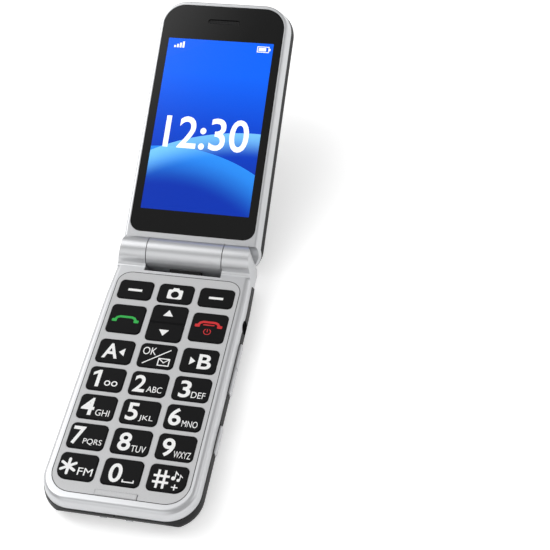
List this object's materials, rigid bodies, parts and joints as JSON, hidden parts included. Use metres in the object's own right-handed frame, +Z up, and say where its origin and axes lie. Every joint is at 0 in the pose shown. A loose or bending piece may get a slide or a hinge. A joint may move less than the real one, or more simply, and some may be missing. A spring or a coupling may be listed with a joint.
{
  "type": "folding mobile phone",
  "caption": "Folding mobile phone with a large keypad, a tall display in the flip, side keys, a headphone socket and a removable battery cover.",
  "frame": {"origin": "centre of the flat back of the base, on the battery cover, on which the open phone lies", "axes": "+X to the right of the keypad, +Y along the base from its free end to the hinge, +Z up through the keys"},
  "size_m": [0.0561, 0.2088, 0.0571],
  "materials": {
    "silver_plastic": "satin metallic paint",
    "plate_silver": "fine-grained metallic paint",
    "black_plastic": "satin",
    "key_black": "satin",
    "black_glass": "polished",
    "rubber": "matte",
    "board_green": "satin",
    "steel": "satin",
    "chrome": "polished",
    "contact_gold": "polished",
    "cell": "satin",
    "module_black": "matte",
    "white_plastic": "satin",
    "flex_amber": "satin",
    "display": "polished"
  },
  "bodies": {
    "base": {"front_frame": "silver_plastic", "keypad_plate": "plate_silver", "keypad_mat": "rubber", "key_domes": "steel", "main_board": "board_green", "rear_case": "black_plastic", "battery_cover": "black_plastic", "battery": "cell", "battery_contacts": "contact_gold", "loudspeaker": "module_black", "microphone": "steel", "vibration_motor": "steel", "sim_holder": "steel", "headphone_jack": "module_black", "usb_socket": "steel", "charge_contacts": "contact_gold", "tact_switches": "white_plastic", "rear_screws": "steel", "hinge_cam": "steel", "hinge_bush": "white_plastic"},
    "flip": {"flip_frame": "silver_plastic", "flip_cover": "black_plastic", "display_glass": "black_glass", "display_panel": "display", "earpiece": "module_black", "earpiece_grille": "chrome", "flip_board": "board_green", "camera_module": "module_black", "camera_window": "black_glass", "indicator_lenses": "white_plastic", "trim_strip": "chrome", "torch_window": "black_glass", "torch_led": "white_plastic", "hinge_cartridge": "steel", "flip_screws": "steel", "flex_cable": "flex_amber"},
    "key_soft_left_body": {"key_soft_left": "key_black"},
    "key_camera_body": {"key_camera": "key_black"},
    "key_soft_right_body": {"key_soft_right": "key_black"},
    "key_call_body": {"key_call": "key_black"},
    "key_nav_body": {"key_nav": "key_black"},
    "key_end_body": {"key_end": "key_black"},
    "key_a_body": {"key_a": "key_black"},
    "key_ok_body": {"key_ok": "key_black"},
    "key_b_body": {"key_b": "key_black"},
    "key_1_body": {"key_1": "key_black"},
    "key_2_body": {"key_2": "key_black"},
    "key_3_body": {"key_3": "key_black"},
    "key_4_body": {"key_4": "key_black"},
    "key_5_body": {"key_5": "key_black"},
    "key_6_body": {"key_6": "key_black"},
    "key_7_body": {"key_7": "key_black"},
    "key_8_body": {"key_8": "key_black"},
    "key_9_body": {"key_9": "key_black"},
    "key_star_body": {"key_star": "key_black"},
    "key_0_body": {"key_0": "key_black"},
    "key_hash_body": {"key_hash": "key_black"},
    "volume_rocker_body": {"volume_rocker": "silver_plastic"},
    "side_key_body": {"side_key": "silver_plastic"},
    "sos_key_body": {"sos_key": "white_plastic"}
  },
  "joints": [
    {"name": "flip_hinge", "type": "hinge", "parent": "base", "child": "flip", "pos_m": [0, 0.0532, 0.0126], "axis": [1, 0, 0], "range_deg": [0, 154.8]},
    {"name": "key_soft_left_press", "type": "slide", "parent": "base", "child": "key_soft_left_body", "axis": [0, 0, -1], "range_m": [0, 0.00035], "stiffness_N_per_m": 400},
    {"name": "key_camera_press", "type": "slide", "parent": "base", "child": "key_camera_body", "axis": [0, 0, -1], "range_m": [0, 0.00035], "stiffness_N_per_m": 400},
    {"name": "key_soft_right_press", "type": "slide", "parent": "base", "child": "key_soft_right_body", "axis": [0, 0, -1], "range_m": [0, 0.00035], "stiffness_N_per_m": 400},
    {"name": "key_call_press", "type": "slide", "parent": "base", "child": "key_call_body", "axis": [0, 0, -1], "range_m": [0, 0.00035], "stiffness_N_per_m": 400},
    {"name": "key_nav_rock", "type": "hinge", "parent": "base", "child": "key_nav_body", "pos_m": [0, 0.021, 0.0104], "axis": [1, 0, 0], "range_deg": [-2, 2], "stiffness_Nm_per_rad": 0.02},
    {"name": "key_end_press", "type": "slide", "parent": "base", "child": "key_end_body", "axis": [0, 0, -1], "range_m": [0, 0.00035], "stiffness_N_per_m": 400},
    {"name": "key_a_press", "type": "slide", "parent": "base", "child": "key_a_body", "axis": [0, 0, -1], "range_m": [0, 0.00035], "stiffness_N_per_m": 400},
    {"name": "key_ok_press", "type": "slide", "parent": "base", "child": "key_ok_body", "axis": [0, 0, -1], "range_m": [0, 0.00035], "stiffness_N_per_m": 400},
    {"name": "key_b_press", "type": "slide", "parent": "base", "child": "key_b_body", "axis": [0, 0, -1], "range_m": [0, 0.00035], "stiffness_N_per_m": 400},
    {"name": "key_1_press", "type": "slide", "parent": "base", "child": "key_1_body", "axis": [0, 0, -1], "range_m": [0, 0.00035], "stiffness_N_per_m": 400},
    {"name": "key_2_press", "type": "slide", "parent": "base", "child": "key_2_body", "axis": [0, 0, -1], "range_m": [0, 0.00035], "stiffness_N_per_m": 400},
    {"name": "key_3_press", "type": "slide", "parent": "base", "child": "key_3_body", "axis": [0, 0, -1], "range_m": [0, 0.00035], "stiffness_N_per_m": 400},
    {"name": "key_4_press", "type": "slide", "parent": "base", "child": "key_4_body", "axis": [0, 0, -1], "range_m": [0, 0.00035], "stiffness_N_per_m": 400},
    {"name": "key_5_press", "type": "slide", "parent": "base", "child": "key_5_body", "axis": [0, 0, -1], "range_m": [0, 0.00035], "stiffness_N_per_m": 400},
    {"name": "key_6_press", "type": "slide", "parent": "base", "child": "key_6_body", "axis": [0, 0, -1], "range_m": [0, 0.00035], "stiffness_N_per_m": 400},
    {"name": "key_7_press", "type": "slide", "parent": "base", "child": "key_7_body", "axis": [0, 0, -1], "range_m": [0, 0.00035], "stiffness_N_per_m": 400},
    {"name": "key_8_press", "type": "slide", "parent": "base", "child": "key_8_body", "axis": [0, 0, -1], "range_m": [0, 0.00035], "stiffness_N_per_m": 400},
    {"name": "key_9_press", "type": "slide", "parent": "base", "child": "key_9_body", "axis": [0, 0, -1], "range_m": [0, 0.00035], "stiffness_N_per_m": 400},
    {"name": "key_star_press", "type": "slide", "parent": "base", "child": "key_star_body", "axis": [0, 0, -1], "range_m": [0, 0.00035], "stiffness_N_per_m": 400},
    {"name": "key_0_press", "type": "slide", "parent": "base", "child": "key_0_body", "axis": [0, 0, -1], "range_m": [0, 0.00035], "stiffness_N_per_m": 400},
    {"name": "key_hash_press", "type": "slide", "parent": "base", "child": "key_hash_body", "axis": [0, 0, -1], "range_m": [0, 0.00035], "stiffness_N_per_m": 400},
    {"name": "volume_rock", "type": "hinge", "parent": "base", "child": "volume_rocker_body", "pos_m": [0.0253, 0.0085, 0.0055], "axis": [0, 0, 1], "range_deg": [-1.6, 1.6], "stiffness_Nm_per_rad": 0.03},
    {"name": "side_key_press", "type": "slide", "parent": "base", "child": "side_key_body", "axis": [-1, 0, 0], "range_m": [0, 0.0003], "stiffness_N_per_m": 400},
    {"name": "sos_key_press", "type": "slide", "parent": "base", "child": "sos_key_body", "axis": [0, 0, 1], "range_m": [0, 0.0004], "stiffness_N_per_m": 400}
  ]
}
